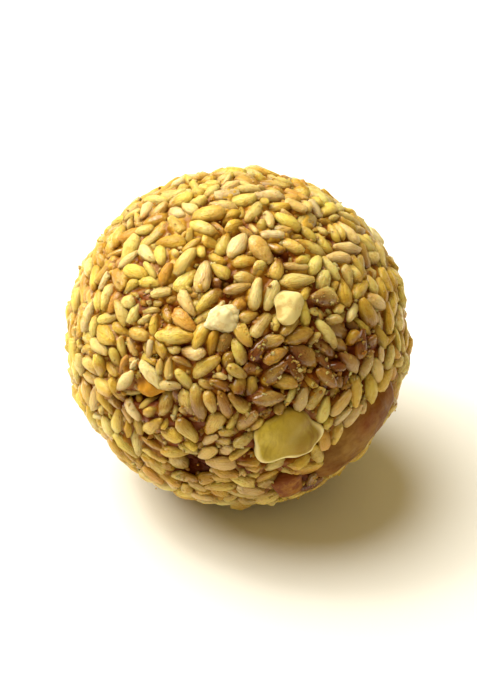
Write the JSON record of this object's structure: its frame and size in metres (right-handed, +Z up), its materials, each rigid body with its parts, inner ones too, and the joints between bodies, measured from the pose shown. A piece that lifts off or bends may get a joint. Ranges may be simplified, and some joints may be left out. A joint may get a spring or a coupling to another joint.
{
  "type": "sesame ladoo",
  "caption": "Hand-rolled ball of toasted sesame seeds bound with jaggery syrup, with cashew pieces and a peanut half pressed into it.",
  "frame": {"origin": "middle of the small flat spot under the ball, where it rests", "axes": "+Z up; -Y faces the viewer, so the cashew flake and the peanut half show from -Y at the lower right; +X to the viewer's right"},
  "size_m": [0.033, 0.0325, 0.0315],
  "materials": {
    "seed_ball": "golden sesame seeds under a thin glossy coat of amber jaggery syrup",
    "cashew": "smooth pale cashew, waxy and slightly translucent, wetted by syrup",
    "peanut": "smooth toasted peanut half with a thin glaze"
  },
  "bodies": {
    "root": {"sesame_ball": "seed_ball", "cashew_flake": "cashew", "peanut_half": "peanut", "cashew_chunk": "cashew", "cashew_split": "cashew"}
  },
  "joints": []
}
